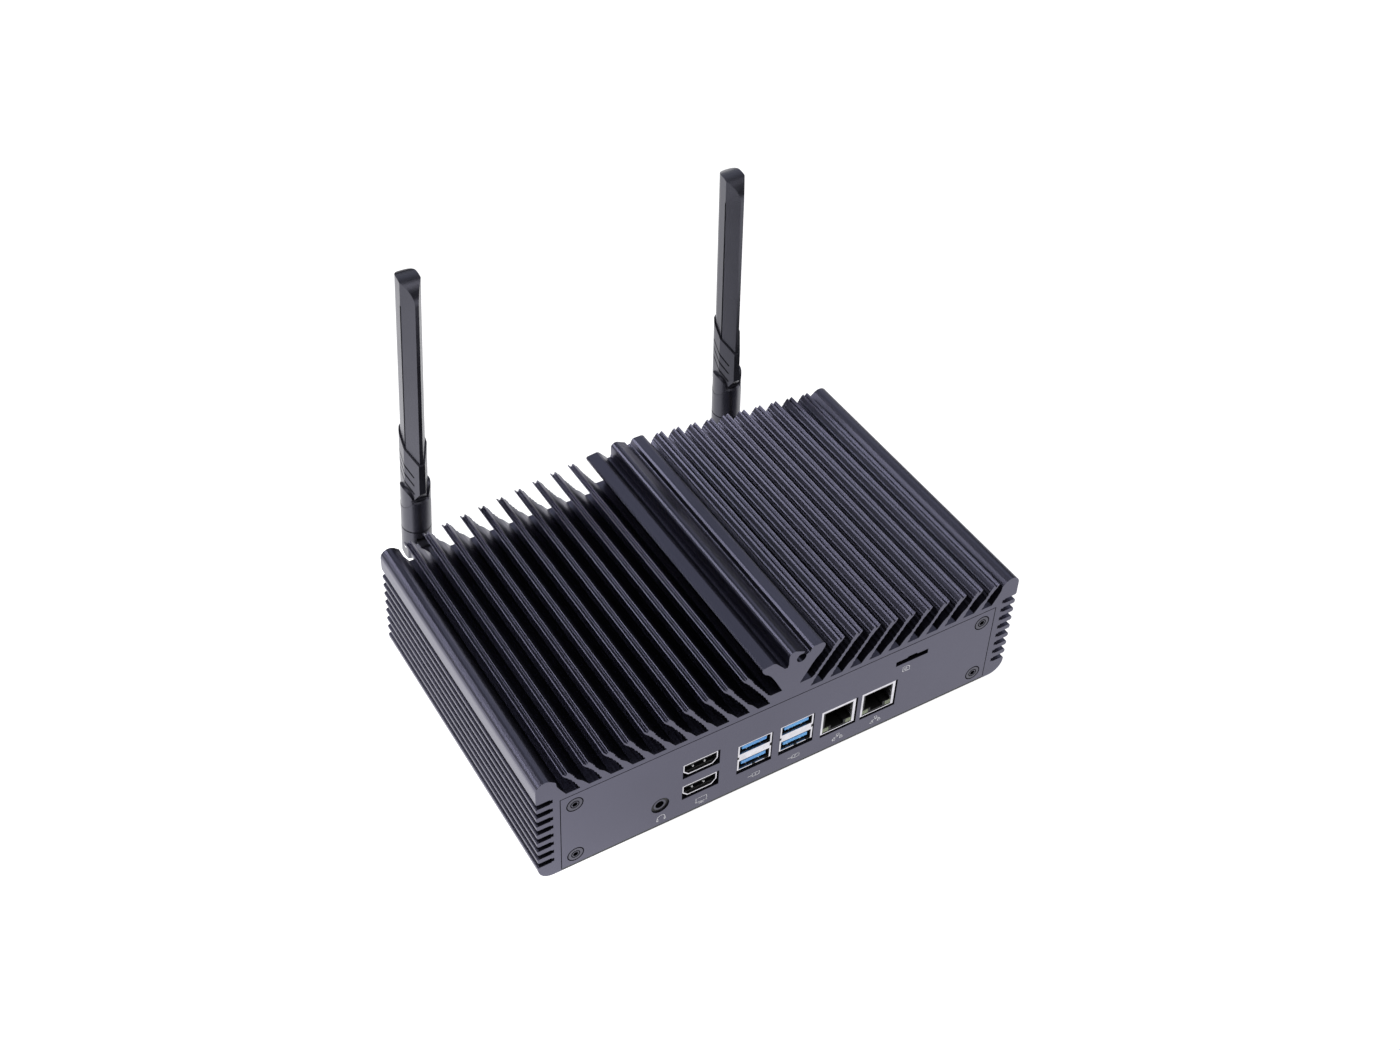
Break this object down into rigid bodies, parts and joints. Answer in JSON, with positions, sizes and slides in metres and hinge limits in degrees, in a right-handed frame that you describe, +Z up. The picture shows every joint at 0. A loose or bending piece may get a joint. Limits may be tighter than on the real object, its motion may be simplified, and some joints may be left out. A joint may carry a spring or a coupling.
{
  "type": "mini pc",
  "caption": "Fanless mini PC: extruded aluminium case with leaning cooling fins, a front panel of sockets and folding rear antennas.",
  "frame": {"origin": "bottom centre of the bounding box, on the surface the feet stand on", "axes": "+X to the right along the socket panel, +Y to the rear, +Z up"},
  "size_m": [0.2152, 0.1639, 0.1696],
  "materials": {
    "case_metal": "black anodised, satin",
    "panel_metal": "black anodised, fine satin",
    "cover_steel": "black powder coat",
    "black_screw": "black oxide",
    "dark_nickel": "black nickel plated",
    "rubber_foot": "matte",
    "steel": "zinc plated",
    "tin_shell": "tinned steel",
    "brass_part": "plain",
    "gold_contact": "gold plated",
    "board": "solder mask",
    "package": "laminate and silicon",
    "pad": "matte",
    "block_metal": "machined",
    "black_plastic": "moulded",
    "card": "solder mask",
    "ferrite": "moulded powder",
    "blue_plastic": "moulded",
    "light_lens": "diffuse",
    "button_metal": "brushed",
    "antenna_plastic": "smooth moulded",
    "cable": "jacket"
  },
  "bodies": {
    "case": {"chassis": "case_metal", "front_panel": "panel_metal", "rear_panel": "panel_metal", "bottom_cover": "cover_steel", "panel_screws": "dark_nickel", "cover_screws": "black_screw", "rubber_feet": "rubber_foot", "mounting_nuts": "steel", "standoffs": "brass_part", "mainboard": "board", "board_screws": "steel", "processor": "package", "thermal_pad": "pad", "heat_block": "block_metal", "heat_block_screws": "steel", "memory_socket": "black_plastic", "memory_module": "board", "card_sockets": "black_plastic", "drive_module": "card", "wifi_card": "board", "card_screws": "steel", "coin_cell_holder": "black_plastic", "coin_cell": "steel", "inductors": "ferrite", "capacitors": "block_metal", "left_pigtail": "cable", "right_pigtail": "cable", "audio_jack": "black_plastic", "audio_ring": "dark_nickel", "hdmi_housing": "black_plastic", "hdmi_shells": "tin_shell", "hdmi_tongues": "black_plastic", "usb_shells": "tin_shell", "usb_tongues": "blue_plastic", "lan_shells": "tin_shell", "lan_inserts": "black_plastic", "lan_contacts": "gold_contact", "lan_lights": "light_lens", "sim_board": "board", "sim_reader": "tin_shell", "sim_posts": "brass_part", "power_socket": "black_plastic", "power_switch": "black_plastic", "button_bezel": "button_metal", "antenna_jacks": "brass_part", "jack_washers": "steel", "jack_nuts": "brass_part", "coupling_nuts": "dark_nickel"},
    "left_antenna_base": {"left_hinge_base": "antenna_plastic"},
    "left_antenna": {"left_hinge_pin": "steel", "left_barrel": "antenna_plastic", "left_grip": "antenna_plastic", "left_blade": "antenna_plastic"},
    "right_antenna_base": {"right_hinge_base": "antenna_plastic"},
    "right_antenna": {"right_hinge_pin": "steel", "right_barrel": "antenna_plastic", "right_grip": "antenna_plastic", "right_blade": "antenna_plastic"},
    "power_button": {"power_button": "button_metal"}
  },
  "joints": [
    {"name": "left_antenna_swivel", "type": "hinge", "parent": "case", "child": "left_antenna_base", "pos_m": [-0.08275, 0.06705, 0.0325], "axis": [0, 1, 0], "range_deg": [-92, 22]},
    {"name": "left_antenna_tilt", "type": "hinge", "parent": "left_antenna_base", "child": "left_antenna", "pos_m": [-0.08275, 0.07505, 0.0325], "axis": [-0.9994, 0, 0.0349], "range_deg": [0, 91.5]},
    {"name": "right_antenna_swivel", "type": "hinge", "parent": "case", "child": "right_antenna_base", "pos_m": [0.0702, 0.06705, 0.0325], "axis": [0, 1, 0], "range_deg": [-22, 92.2]},
    {"name": "right_antenna_tilt", "type": "hinge", "parent": "right_antenna_base", "child": "right_antenna", "pos_m": [0.0702, 0.07505, 0.0325], "axis": [-0.9993, 0, -0.0384], "range_deg": [0, 91.5]},
    {"name": "power_button_press", "type": "slide", "parent": "case", "child": "power_button", "axis": [0, -1, 0], "range_m": [0, 0.001], "stiffness_N_per_m": 800, "springref_m": -0.0005}
  ]
}
